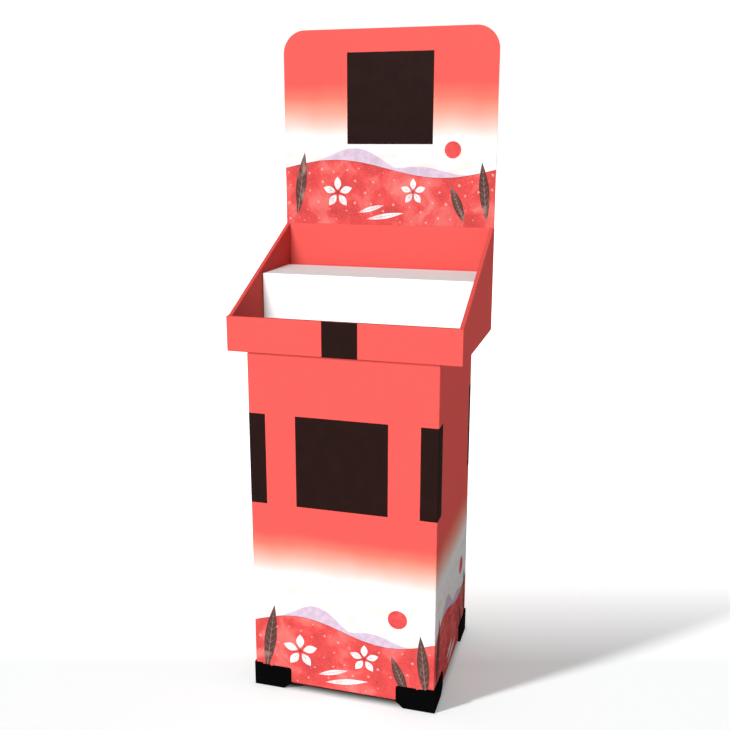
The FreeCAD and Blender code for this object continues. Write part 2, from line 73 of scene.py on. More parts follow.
# Picture: places are shares of a face's width and height, sizes are shares of its height
FOLD_RADIUS = 0.0025
FACE_MARGIN = 0.0026
INK_SINK = 0.00002
HILL_EDGE = 0.60
HILL_WAVE = 0.09
FEATHERS = [(-0.10, 0.06, 0.42, 0.055, 10.0), (-0.14, 0.13, 0.30, 0.05, 16.0)]
LEAVES = [(-0.44, 0.08, 0.70, 0.12, 82.0), (0.46, 0.06, 0.62, 0.11, 96.0), (0.36, 0.04, 0.42, 0.10, 112.0)]
BLOSSOMS = [(-0.24, 0.34, 0.17), (0.12, 0.36, 0.14)]
RIDGES = [(0.13, 0.60, 0.14, 0.00006), (0.46, 0.90, 0.10, 0.00003)]
FOOT_REACH = 0.09
FOOT_TOP = 0.06
FLOWER_CELL = 0.006
FLOWER_EDGE = 0.008

# How far thin ink stands out from the print
LIFT_VEIN = 0.00005
LIFT_LINE = 0.00006
LIFT_THREAD = 0.00007
LIFT_MIDRIB = 0.00008
LIFT_DOT = 0.00010
LIFT_EYE = 0.00012

# Fade: heights of its foot and top, the ink at its foot, and how fast red, green and blue give way
COLUMN_FADE = (0.272, 0.366)
HEADER_FADE = (1.172, 1.292)
FADE_INK = 0.04
FADE_POWERS = (1.0, 1.6, 2.1)
FADE_PLACES = (0.0, 0.25, 0.5, 0.75, 1.0)


def shaded(colour, factor):
    """The same colour, lighter or darker."""
    return tuple(min(1.0, value * factor) for value in colour[:3])


# Settings that a user would change

def colour_property(name, description, default):
    return FloatVectorProperty(
        name=name, description=description, subtype="COLOR", size=3, min=0.0, max=1.0, default=default
    )


def length_property(name, description, default):
    return FloatProperty(name=name, description=description, unit="LENGTH", min=0.0, default=default)


def number_property(name, description, default, least=0.0):
    return FloatProperty(name=name, description=description, min=least, default=default)


class StandBoardSettings(bpy.types.PropertyGroup):
    """Colours and surface of the corrugated boards"""
    coral: colour_property("Coral ink", "Flood colour of the printed boards", (0.490, 0.0600, 0.0525))
    white: colour_property("White liner", "Colour of the header's rear and tray's floor", (0.70, 0.70, 0.70))
    step: colour_property("Step", "Colour of the step in the tray", (0.68, 0.70, 0.70))
    kraft: colour_property("Kraft liner", "Colour of the dividers and column's inside", (0.36, 0.23, 0.13))
    flute_pitch: length_property("Flute pitch", "Distance from one flute to the next", 0.0065)
    washboard: length_property("Washboard", "How deep the flutes show through the liner", 0.00004)
    grain: length_property("Paper grain", "Depth of the paper's fine relief", 0.00003)
    liner_thickness: length_property("Liner thickness", "Thickness of the header's flat sheets", 0.00035)


class StandPrintSettings(bpy.types.PropertyGroup):
    """Inks of the picture"""
    paper: colour_property("Paper", "Lightest tone of the picture", (0.50, 0.50, 0.49))
    red: colour_property("Red hills", "Ink of the hills", (0.415, 0.040, 0.039))
    white: colour_property("White motifs", "Ink of the petals and the feathers", (0.50, 0.49, 0.495))
    brown: colour_property("Brown leaves", "Ink of the leaves", (0.068, 0.032, 0.028))
    vein: colour_property("Leaf veins", "Ink of the lines on the leaves", (0.20, 0.115, 0.10))
    mauve: colour_property("Far ridge", "Ink of the ridge behind the hills", (0.37, 0.29, 0.36))
    rose: colour_property("Small flowers", "Ink of the small flowers and petal lines", (0.46, 0.20, 0.19))
    flower_radius: length_property("Flower radius", "Radius of the largest small flowers", 0.0042)
    flower_distance: length_property("Flower distance", "Least distance between two small flowers", 0.026)
    flower_seed: IntProperty(
        name="Flower seed", description="Seed of the small flowers' places", default=7, min=0
    )
    black: colour_property("Black squares", "Ink of the squares and bands", (0.0112, 0.0050, 0.0043))


class StandPlasticSettings(bpy.types.PropertyGroup):
    """Moulded pieces"""
    foot: colour_property("Feet", "Colour of the corner feet", (0.0010, 0.0010, 0.0010))
    rivet: colour_property("Rivets", "Colour of the push rivets", (0.62, 0.62, 0.58))
    texture_size: length_property("Texture size", "Size of the moulded texture's grains", 0.0009)


class StandStageSettings(bpy.types.PropertyGroup):
    """Floor, light and camera"""
    floor_radius: length_property("Floor radius", "Radius of the round floor", 30.0)
    front_light: number_property("Front light", "Strength of the soft light from the front", 5.45)
    floor_light: number_property("Floor light", "Strength of the light that throws the shadow", 3.3)
    shadow_height: number_property("Shadow light height", "Degrees up to the floor light", 30.0, 5.0)
    near_glow: number_property("Near glow", "Own light of the floor round the stand", 0.27)
    far_glow: number_property("Far glow", "Own light of the floor behind the stand", 0.78)
    sky: number_property("Sky", "Brightness of the sky above the pale horizon", 0.22)
    focal_length: number_property("Focal length", "Focal length in millimetres", 45.257, 1.0)


# Material recipes

class Recipe:
    """One material's node tree; each step returns a socket that the next one can use."""

    def __init__(self, name, roughness, gloss=0.0):
        self.material = bpy.data.materials.new(name)
        self.material.use_nodes = True
        self.tree = self.material.node_tree
        self.shader = self.tree.nodes["Principled BSDF"]
        self.shader.inputs["Roughness"].default_value = roughness
        self.shader.inputs["Specular IOR Level"].default_value = 0.0
        self.shader.inputs["Coat Weight"].default_value = gloss
        self.shader.inputs["Coat Roughness"].default_value = roughness * 0.7
        coordinate = self.tree.nodes.new("ShaderNodeTexCoord")
        self.place = coordinate.outputs["Object"]
        self.x, self.y, self.z = self.split(self.place)
        self.nx, self.ny, self.nz = self.split(coordinate.outputs["Normal"])

    def feed(self, socket, value):
        if isinstance(value, bpy.types.NodeSocket):
            self.tree.links.new(value, socket)
        elif isinstance(value, (tuple, list)) and len(socket.default_value) == 4:
            socket.default_value = (*value[:3], 1.0)
        else:
            socket.default_value = value

    def split(self, vector):
        node = self.tree.nodes.new("ShaderNodeSeparateXYZ")
        self.feed(node.inputs[0], vector)
        return node.outputs[0], node.outputs[1], node.outputs[2]

    def calc(self, operation, a, b=0.0, c=0.0):
        node = self.tree.nodes.new("ShaderNodeMath")
        node.operation = operation
        for socket, value in zip(node.inputs, (a, b, c)):
            self.feed(socket, value)
        return node.outputs[0]

    def size_of(self, value):
        return self.calc("ABSOLUTE", value)

    def both(self, a, b):
        return self.calc("MULTIPLY", a, b)

    def span(self, value, low, high):
        """Smooth step from 0 at low to 1 at high."""
        node = self.tree.nodes.new("ShaderNodeMapRange")
        node.interpolation_type = "SMOOTHSTEP"
        self.feed(node.inputs["Value"], value)
        node.inputs["From Min"].default_value = low
        node.inputs["From Max"].default_value = high
        return node.outputs["Result"]

    def ease(self, value, low, high):
        """Straight step from 0 at low to 1 at high."""
        step = self.span(value, low, high)
        step.node.interpolation_type = "LINEAR"
        return step

    def stretched(self, x, y, z):
        node = self.tree.nodes.new("ShaderNodeVectorMath")
        node.operation = "MULTIPLY"
        self.feed(node.inputs[0], self.place)
        node.inputs[1].default_value = (x, y, z)
        return node.outputs[0]

    def noise(self, size, detail=2.0, vector=None, distortion=0.0):
        """Cloudy pattern whose patches are about as large as size."""
        node = self.tree.nodes.new("ShaderNodeTexNoise")
        self.feed(node.inputs["Vector"], vector or self.place)
        node.inputs["Scale"].default_value = 1 / size
        node.inputs["Detail"].default_value = detail
        node.inputs["Distortion"].default_value = distortion
        return node.outputs[0]

    def cells(self, size, vector=None):
        """Distance from the middle of the nearest cell, in cell sizes."""
        node = self.tree.nodes.new("ShaderNodeTexVoronoi")
        self.feed(node.inputs["Vector"], vector or self.place)
        node.inputs["Scale"].default_value = 1 / size
        return node.outputs["Distance"]

    def mix(self, factor, a, b, mode="MIX"):
        node = self.tree.nodes.new("ShaderNodeMix")
        node.data_type = "RGBA"
        node.blend_type = mode
        self.feed(node.inputs[0], factor)
        self.feed(node.inputs[6], a)
        self.feed(node.inputs[7], b)
        return node.outputs[2]

    def ramp(self, value, stops):
        node = self.tree.nodes.new("ShaderNodeValToRGB")
        self.feed(node.inputs[0], value)
        elements = node.color_ramp.elements
        while len(elements) < len(stops):
            elements.new(1.0)
        for element, (place, colour) in zip(elements, stops):
            element.position = place
            element.color = (*colour[:3], 1.0)
        return node.outputs[0]

    def relief(self, height, depth, normal=None):
        node = self.tree.nodes.new("ShaderNodeBump")
        node.inputs["Strength"].default_value = 1.0
        node.inputs["Distance"].default_value = depth
        self.feed(node.inputs["Height"], height)
        if normal:
            self.feed(node.inputs["Normal"], normal)
        return node.outputs[0]

    def finish(self, colour, normal=None, roughness=None):
        self.feed(self.shader.inputs["Base Color"], colour)
        if normal:
            self.feed(self.shader.inputs["Normal"], normal)
        if roughness:
            self.feed(self.shader.inputs["Roughness"], roughness)
        return self.material


def washboard(recipe, pitch):
    """Faint upright waves where the flutes show through a wall's liner."""
    turns = 2 * math.pi / pitch
    across_x = recipe.calc("SINE", recipe.calc("MULTIPLY", recipe.x, turns))
    across_y = recipe.calc("SINE", recipe.calc("MULTIPLY", recipe.y, turns))
    on_front = recipe.both(across_x, recipe.size_of(recipe.ny))
    on_side = recipe.both(across_y, recipe.size_of(recipe.nx))
    return recipe.calc("ADD", on_front, on_side)


def board_relief(recipe, board):
    """Flutes that show through the liner, and the paper's grain on top of them."""
    waves = recipe.relief(washboard(recipe, board.flute_pitch), board.washboard)
    return recipe.relief(recipe.noise(0.0006, 3.0), board.grain, waves)


def paper_roughness(recipe, low, high):
    """Roughness that drifts between two values."""
    return recipe.calc("MULTIPLY_ADD", recipe.noise(0.02, 4.0), high - low, low)


def folded_ink(recipe, board, tone):
    """Ink with fine specks, rubbed pale along the folds."""
    coral = tuple(board.coral)
    speck = recipe.span(recipe.noise(0.0012, 2.0), 0.66, 0.78)
    tone = recipe.mix(recipe.both(speck, 0.05), tone, shaded(coral, 1.3))
    straight = recipe.calc("MAXIMUM", recipe.size_of(recipe.nx), recipe.size_of(recipe.ny))
    fold = recipe.span(recipe.calc("MAXIMUM", straight, recipe.size_of(recipe.nz)), 0.98, 0.9)
    rub = recipe.both(fold, recipe.span(recipe.noise(0.004, 4.0, recipe.stretched(1.0, 1.0, 0.3)), 0.52, 0.7))
    return recipe.mix(recipe.both(rub, 0.4), tone, shaded(coral, 1.6))


def column_board(board, prints):
    """Coral outside, fading where the picture starts, and raw kraft inside."""
    recipe = Recipe("coral_printed_board", 0.5, 0.03)
    ink = folded_ink(recipe, board, sky_tone(recipe, board, prints, COLUMN_FADE))
    shade = recipe.span(recipe.z, *JOINT_SHADE)
    ink = recipe.mix(recipe.both(shade, 0.7), ink, shaded(tuple(board.coral), 0.42))
    width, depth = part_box("column_sleeve")[1][:2]
    outer, inner = 0.8 * BOARD_THICKNESS, BOARD_THICKNESS
    in_width = recipe.span(recipe.size_of(recipe.x), width - outer, width - inner)
    in_depth = recipe.span(recipe.size_of(recipe.y), depth - outer, depth - inner)
    tone = recipe.mix(recipe.both(in_width, in_depth), ink, kraft_tone(recipe, board))
    return recipe.finish(tone, board_relief(recipe, board), paper_roughness(recipe, 0.42, 0.58))


def tray_board(board):
    """Coral on every wall and beneath the floor, and the unprinted white liner on top of it."""
    recipe = Recipe("coral_tray_board", 0.5, 0.03)
    coral = tuple(board.coral)
    flood = recipe.mix(recipe.noise(0.11, 3.0), shaded(coral, 0.98), coral)
    ink = folded_ink(recipe, board, flood)
    on_floor = recipe.both(recipe.span(recipe.z, *FLOOR_LINER), recipe.span(recipe.nz, 0.6, 0.8))
    tone = recipe.mix(on_floor, ink, white_tone(recipe, board.white))
    return recipe.finish(tone, board_relief(recipe, board), paper_roughness(recipe, 0.42, 0.58))


def kraft_tone(recipe, board):
    """Brown paper with long pale and dark fibres."""
    kraft = tuple(board.kraft)
    fibres = recipe.noise(0.004, 5.0, recipe.stretched(1.0, 1.0, 0.25))
    return recipe.ramp(fibres, [(0.3, shaded(kraft, 0.82)), (0.5, kraft), (0.72, shaded(kraft, 1.22))])


def white_tone(recipe, colour):
    """White-lined board with a trace of grey in the pulp."""
    white = tuple(colour)
    pulp = recipe.noise(0.008, 5.0)
    return recipe.ramp(pulp, [(0.3, shaded(white, 0.965)), (0.6, white)])


def white_board(board):
    """Unprinted white liner of the step."""
    recipe = Recipe("white_lined_board", 0.6, 0.05)
    tone = white_tone(recipe, board.step)
    return recipe.finish(tone, board_relief(recipe, board), paper_roughness(recipe, 0.5, 0.65))


def kraft_board(board):
    """Unprinted brown liner of the dividers."""
    recipe = Recipe("kraft_board", 0.8, 0.02)
    return recipe.finish(kraft_tone(recipe, board), board_relief(recipe, board))


def header_board(board, prints):
    """Printed on the front and white behind."""
    recipe = Recipe("header_board", 0.5, 0.03)
    ink = sky_tone(recipe, board, prints, HEADER_FADE)
    tone = recipe.mix(recipe.span(recipe.ny, -0.7, -0.5), ink, white_tone(recipe, board.white))
    return recipe.finish(tone, board_relief(recipe, board), paper_roughness(recipe, 0.42, 0.58))


def fluting_paper(board):
    """Brown recycled paper between the header's sheets."""
    recipe = Recipe("fluting_paper", 0.9)
    return recipe.finish(kraft_tone(recipe, board), recipe.relief(recipe.noise(0.0006, 3.0), board.grain))


# Print

def fade_tone(paper, coral, share):
    """Tone between the white paper at share 0 and the full coral ink at share 1."""
    covers = [1 - (1 - FADE_INK) * (1 - share) ** power for power in FADE_POWERS]
    return tuple(paper[0] + cover * (ink - paper[0]) for cover, ink in zip(covers, coral))


def sky_tone(recipe, board, prints, fade):
    """The picture's ground: coral at the top, fading through cream to the paper's white."""
    low, high = fade
    drift = recipe.calc("MULTIPLY_ADD", recipe.noise(0.12, 2.0), 0.03, -0.015)
    height = recipe.calc("SUBTRACT", recipe.calc("ADD", recipe.z, drift), low)
    share = recipe.calc("DIVIDE", height, high - low)
    paper, coral = tuple(prints.paper), tuple(board.coral)
    cloud = recipe.noise(0.045, 3.0, recipe.stretched(1.0, 1.0, 2.2))
    haze = recipe.ramp(cloud, [(0.38, (0.49, 0.40, 0.37)), (0.52, paper), (0.66, (0.47, 0.42, 0.46))])
    sky = recipe.ramp(share, [(place, fade_tone(paper, coral, place)) for place in FADE_PLACES])
    sky = recipe.mix(recipe.both(recipe.span(share, 0.0, -0.35), 0.75), sky, haze)
    flood = recipe.mix(recipe.noise(0.11, 3.0), shaded(coral, 0.98), coral)
    return recipe.mix(recipe.span(share, 1.0, 1.15), sky, flood)


def sky_print(name, prints, board, fade):
    """Paper of the picture above its hills."""
    recipe = Recipe(name, 0.45, 0.03)
    tone = sky_tone(recipe, board, prints, fade)
    return recipe.finish(tone, board_relief(recipe, board), paper_roughness(recipe, 0.36, 0.5))


def hill_print(prints, board):
    """Red hills with the grain of soft cloth, paler where the light falls."""
    recipe = Recipe("print_red_hills", 0.45, 0.03)
    red = tuple(prints.red)
    light = recipe.noise(0.055, 4.0, None, 0.6)
    grain = recipe.noise(0.0016, 4.0)
    tone = recipe.ramp(light, [(0.32, shaded(red, 0.78)), (0.5, red), (0.68, (0.44, 0.105, 0.095))])
    tone = recipe.mix(recipe.calc("MULTIPLY", recipe.span(grain, 0.5, 0.75), 0.5), tone, (0.46, 0.15, 0.135))
    return recipe.finish(tone, board_relief(recipe, board), paper_roughness(recipe, 0.36, 0.5))


def motif_print(name, colour, pale, board):
    """Motif with a soft change of tone, as a painted shape has."""
    recipe = Recipe(name, 0.4, 0.03)
    light = recipe.noise(0.03, 3.0, recipe.stretched(1.0, 1.0, 0.6), 0.8)
    tone = recipe.ramp(light, [(0.35, shaded(colour, 0.8)), (0.52, colour), (0.7, pale)])
    return recipe.finish(tone, board_relief(recipe, board), paper_roughness(recipe, 0.34, 0.46))


def black_print(prints, board):
    """Ink of the black squares and bands."""
    recipe = Recipe("print_black", 0.4, 0.02)
    black = tuple(prints.black)
    tone = recipe.mix(recipe.span(recipe.noise(0.03, 4.0), 0.35, 0.7), black, shaded(black, 1.12))
    return recipe.finish(tone, board_relief(recipe, board), paper_roughness(recipe, 0.34, 0.44))


def flat_ink(name, colour, board):
    """Thin line or spot of ink with a slightly uneven tone."""
    recipe = Recipe(name, 0.4, 0.03)
    spread = recipe.span(recipe.noise(0.012, 3.0), 0.35, 0.65)
    tone = recipe.mix(spread, shaded(colour, 0.9), shaded(colour, 1.06))
    return recipe.finish(tone, board_relief(recipe, board), paper_roughness(recipe, 0.34, 0.46))


# Plastic

def moulded_plastic(name, colour, roughness, grain_size, gloss):
    """Plastic with a fine moulded texture."""
    recipe = Recipe(name, roughness, gloss)
    grain = recipe.cells(grain_size)
    tone = recipe.mix(recipe.span(recipe.noise(0.01, 3.0), 0.4, 0.7), colour, shaded(colour, 1.25))
    matt = paper_roughness(recipe, roughness - 0.06, roughness + 0.08)
    return recipe.finish(tone, recipe.relief(grain, 0.00005), matt)


# Pieces

def dress(node, material):
    """Gives a CAD node one material."""
    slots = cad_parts[node].data.materials
    slots.clear()
    slots.append(material)


def add_piece(name, mesh, materials, replaced=None):
    """Links a finished mesh as a piece that rides on the stand."""
    piece = bpy.data.objects.new(name, mesh)
    for material in materials:
        mesh.materials.append(material)
    bpy.context.scene.collection.objects.link(piece)
    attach(piece, "root")
    if replaced:
        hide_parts(replaced)
    return piece


class PictureFace:
    """A flat face of the stand that carries the picture; u runs to its right and v runs up."""

    def __init__(self, origin, right, width, height, with_blossoms):
        self.origin, self.right, self.up = Vector(origin), Vector(right), Vector((0.0, 0.0, 1.0))
        self.out = self.right.cross(self.up)
        self.width, self.height = width, height
        self.with_blossoms = with_blossoms

    def at(self, u, v, lift):
        return self.origin + u * self.right + v * self.up + lift * self.out


def picture_panels():
    """The column's front and sides and the header's front."""
    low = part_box("column_print_red")[0][2]
    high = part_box("column_print_cream")[1][2]
    x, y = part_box("column_print_red")[1][0], -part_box("column_print_red")[0][1]
    width, depth = 2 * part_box("column_sleeve")[1][0], 2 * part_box("column_sleeve")[1][1]
    card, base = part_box("header_print_red")
    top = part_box("header_print_cream")[1][2]
    header_width = base[0] - card[0] + 2 * FOLD_RADIUS
    return [
        PictureFace((0.0, -y, low), (1.0, 0.0, 0.0), width, high - low, True),
        PictureFace((x, 0.0, low), (0.0, 1.0, 0.0), depth, high - low, False),
        PictureFace((-x, 0.0, low), (0.0, -1.0, 0.0), depth, high - low, False),
        PictureFace((0.0, card[1], card[2]), (1.0, 0.0, 0.0), header_width, top - card[2], True),
    ]


def ink_shape(work, panel, outline, lift):
    """Adds one thin closed shape to a mesh under work; the outline runs anticlockwise in u and v."""
    low = [work.verts.new(panel.at(u, v, -INK_SINK)) for u, v in outline]
    high = [work.verts.new(panel.at(u, v, lift)) for u, v in outline]
    work.faces.new(high)
    work.faces.new(low[::-1])
    for k in range(len(outline)):
        after = (k + 1) % len(outline)
        work.faces.new((low[k], low[after], high[after], high[k]))


def ink_stroke(start, end, first_width, last_width):
    """Outline of a straight stroke whose width changes from start to end."""
    (u0, v0), (u1, v1) = start, end
    length = math.hypot(u1 - u0, v1 - v0)
    side_u, side_v = -(v1 - v0) / length, (u1 - u0) / length
    a, b = first_width / 2, last_width / 2
    return [
        (u0 - a * side_u, v0 - a * side_v), (u1 - b * side_u, v1 - b * side_v),
        (u1 + b * side_u, v1 + b * side_v), (u0 + a * side_u, v0 + a * side_v),
    ]


def ink_dot(u, v, radius, count=10):
    """Outline of a round spot."""
    turns = [2 * math.pi * k / count for k in range(count)]
    return [(u + radius * math.cos(a), v + radius * math.sin(a)) for a in turns]


def leaf_veins(work, panel, leaf, count):
    """Midrib and side veins of one leaf."""
    u, v, length, breadth, angle = leaf
    u, v, length, breadth = u * panel.width, v * panel.height, length * panel.height, breadth * panel.height
    turn = math.radians(angle)

    def on_leaf(along, across):
        return (
            u + along * math.cos(turn) - across * math.sin(turn),
            v + along * math.sin(turn) + across * math.cos(turn),
        )

    midrib = ink_stroke(on_leaf(0.02 * length, 0), on_leaf(0.95 * length, 0), 0.0016, 0.0004)
    ink_shape(work, panel, midrib, LIFT_MIDRIB)
    for k in range(count):
        share = 0.14 + 0.68 * k / (count - 1)
        reach = 0.36 * breadth * math.sin(math.pi * min(share + 0.07, 0.98))
        for side in (-1, 1):
            start = on_leaf(share * length, side * 0.0004)
            end = on_leaf(share * length + 1.1 * reach, side * reach)
            ink_shape(work, panel, ink_stroke(start, end, 0.0009, 0.0003), LIFT_VEIN)


def finished_mesh(work, name):
    """Turns a mesh under work into a plain mesh whose faces look outwards."""
    bmesh.ops.recalc_face_normals(work, faces=work.faces)
    mesh = bpy.data.meshes.new(name)
    work.to_mesh(mesh)
    work.free()
    return mesh


def crest(panel, share):
    """Height of the hills' edge at a share of the panel's width."""
    return panel.height * (HILL_EDGE + HILL_WAVE * math.sin(2 * math.pi * share))


def on_a_leaf(panel, u, v):
    """Whether a place on a picture's face lies on one of its leaves."""
    for place, low, length, breadth, angle in LEAVES:
        turn = math.radians(angle)
        across_u, up_v = u - place * panel.width, v - low * panel.height
        share = (across_u * math.cos(turn) + up_v * math.sin(turn)) / (length * panel.height)
        off = abs(up_v * math.cos(turn) - across_u * math.sin(turn))
        if 0 < share < 1 and off < breadth * panel.height / 2 * math.sin(math.pi * share):
            return True
    return False


def crest_line(work, panel, width):
    """Thin line along the top of the hills, hidden where a leaf stands in front of them."""
    half = panel.width / 2 - FACE_MARGIN
    count = 160
    run = []
    for k in range(count + 1):
        u, v = half * (2 * k / count - 1), crest(panel, k / count)
        is_hidden = on_a_leaf(panel, u, v)
        if not is_hidden:
            run.append((u, v))
        if (is_hidden or k == count) and len(run) > 1:
            outline = [(a, b - width) for a, b in run] + [(a, b + 0.0002) for a, b in reversed(run)]
            ink_shape(work, panel, outline, LIFT_LINE)
            run = []


def far_ridge(work, panel, first, last, rise, lift):
    """Pale rounded ridge that rises behind the hills between two shares of the panel's width."""
    half = panel.width / 2 - FACE_MARGIN
    count = 24
    low, high = [], []
    for k in range(count + 1):
        share = first + (last - first) * k / count
        u, base = half * (2 * share - 1), crest(panel, share) + 0.0004
        low.append((u, base))
        high.append((u, base + 0.0001 + rise * panel.height * math.sin(math.pi * k / count) ** 2))
    ink_shape(work, panel, low + high[::-1], lift)


def stamens(work, panel, blossom):
    """Threads and pollen dots round the eye of one blossom."""
    u, v, radius = blossom[0] * panel.width, blossom[1] * panel.height, blossom[2] * panel.height
    for k in range(10):
        turn = math.radians(90 + 36 * k)
        reach = radius * (0.40 if k % 2 else 0.50)
        tip = (u + reach * math.cos(turn), v + reach * math.sin(turn))
        root = (u + 0.05 * radius * math.cos(turn), v + 0.05 * radius * math.sin(turn))
        ink_shape(work, panel, ink_stroke(root, tip, 0.0007, 0.0005), LIFT_THREAD)
        ink_shape(work, panel, ink_dot(*tip, 0.0011, 8), LIFT_DOT)
    ink_shape(work, panel, ink_dot(u, v, 0.09 * radius, 12), LIFT_EYE)


def petal_lines(work, panel, blossom):
    """Three fine strokes towards the tip of each petal."""
    u, v, radius = blossom[0] * panel.width, blossom[1] * panel.height, blossom[2] * panel.height
    for k in range(5):
        for lean, first, last in ((-9, 0.56, 0.74), (0, 0.58, 0.90), (9, 0.56, 0.74)):
            turn = math.radians(90 + 72 * k + lean)
            start = (u + first * radius * math.cos(turn), v + first * radius * math.sin(turn))
            end = (u + last * radius * math.cos(turn), v + last * radius * math.sin(turn))
            ink_shape(work, panel, ink_stroke(start, end, 0.0008, 0.0002), LIFT_LINE)


def card_reach(x, low, high, shoulder):
    """Lowest and highest point of the header card at a place across it."""
    tab, taper, radius = CARD_TAB_WIDTH / 2, CARD_TAB_WIDTH / 20, CARD_CORNER_RADIUS
    across = abs(x)
    bottom = shoulder if across > tab else low + max(0.0, across - (tab - taper))
    past = across - (high[0] - radius)
    top = high[2] - radius + math.sqrt(max(0.0, radius ** 2 - past ** 2)) if past > 0 else high[2]
    return bottom, top


def card_liner(work, y_front, y_rear, low, high, shoulder):
    """One flat paper sheet of the header card."""
    tab, taper, radius = CARD_TAB_WIDTH / 2, CARD_TAB_WIDTH / 20, CARD_CORNER_RADIUS
    right = [(tab - taper, low[2]), (tab, low[2] + taper), (tab, shoulder), (high[0], shoulder)]
    for k in range(17):
        turn = math.radians(90 * k / 16)
        right.append((high[0] - radius + radius * math.cos(turn), high[2] - radius + radius * math.sin(turn)))
    outline = right + [(-x, z) for x, z in reversed(right)]
    front = [work.verts.new((x, y_front, z)) for x, z in outline]
    rear = [work.verts.new((x, y_rear, z)) for x, z in outline]
    work.faces.new(front)
    work.faces.new(rear[::-1])
    for k in range(len(outline)):
        after = (k + 1) % len(outline)
        work.faces.new((front[k], rear[k], rear[after], front[after]))


def card_flutes(work, pitch, sheet, low, high, shoulder):
    """The wavy paper between the header's two flat sheets, cut off at the card's outline."""
    middle = (low[1] + high[1]) / 2
    swing = (high[1] - low[1]) / 2 - sheet - CARD_MEDIUM / 2 - 0.00001
    count = int(FLUTE_STEPS * (high[0] - low[0]) / pitch)
    rows = []
    for k in range(count + 1):
        x = low[0] + 0.0002 + (high[0] - low[0] - 0.0004) * k / count
        bottom, top = card_reach(x, low[2], high, shoulder)
        y = middle + swing * math.sin(2 * math.pi * x / pitch)
        bottom, top = bottom + CARD_FLUTE_INSET, top - CARD_FLUTE_INSET
        rows.append([
            work.verts.new((x, y + side * CARD_MEDIUM / 2, z))
            for side, z in ((-1, bottom), (-1, top), (1, top), (1, bottom))
        ])
    for here, there in zip(rows, rows[1:]):
        for k in range(4):
            after = (k + 1) % 4
            face = work.faces.new((here[k], there[k], there[after], here[after]))
            face.smooth = k in (0, 2)
            face.material_index = 1
    for ends in (rows[0], rows[-1][::-1]):
        work.faces.new(ends).material_index = 1


class STAND_OT_build_header_card(bpy.types.Operator):
    """Builds the header card from two flat sheets and the fluted paper between them"""
    bl_idname = "stand.build_header_card"
    bl_label = "Build the header card"

    def execute(self, context):
        board, prints = context.scene.stand_board, context.scene.stand_print
        low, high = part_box("header_card")
        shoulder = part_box("tray")[1][2]
        work = bmesh.new()
        sheet = board.liner_thickness
        card_liner(work, low[1], low[1] + sheet, low, high, shoulder)
        card_liner(work, high[1] - sheet, high[1], low, high, shoulder)
        card_flutes(work, board.flute_pitch, sheet, low, high, shoulder)
        mesh = finished_mesh(work, "header_card_layers")
        papers = [header_board(board, prints), fluting_paper(board)]
        add_piece("header_card_layers", mesh, papers, "header_card")
        return {"FINISHED"}


def flower_field(panel, cell):
    """Faces on the hills where small flowers may lie, a cell or more clear of the large motifs."""
    spots = []
    for u, v, length, breadth, angle in LEAVES + FEATHERS:
        turn = math.radians(angle)
        for share in (0.0, 0.2, 0.4, 0.6, 0.8, 1.0):
            along = share * length * panel.height
            spots.append((u * panel.width + along * math.cos(turn), v * panel.height + along * math.sin(turn),
                          0.5 * breadth * panel.height))
    if panel.with_blossoms:
        spots += [(u * panel.width, v * panel.height, radius * panel.height) for u, v, radius in BLOSSOMS]
    half = panel.width / 2 - FLOWER_EDGE
    columns, rows = int(2 * half / cell), int(panel.height / cell)
    faces = []
    for i in range(columns):
        for j in range(rows):
            u, v = -half + cell * (i + 0.5), cell * (j + 0.5)
            share = (u / (panel.width / 2 - FOLD_RADIUS) + 1) / 2
            if v < cell or v > crest(panel, share) - FLOWER_EDGE:
                continue
            if abs(u) > panel.width / 2 - FOOT_REACH and panel.at(u, v, 0.0).z < FOOT_TOP:
                continue
            if any(math.hypot(u - a, v - b) < reach + cell for a, b, reach in spots):
                continue
            corners = ((-0.5, -0.5), (0.5, -0.5), (0.5, 0.5), (-0.5, 0.5))
            faces.append([panel.at(u + a * cell, v + b * cell, -INK_SINK) for a, b in corners])
    return faces


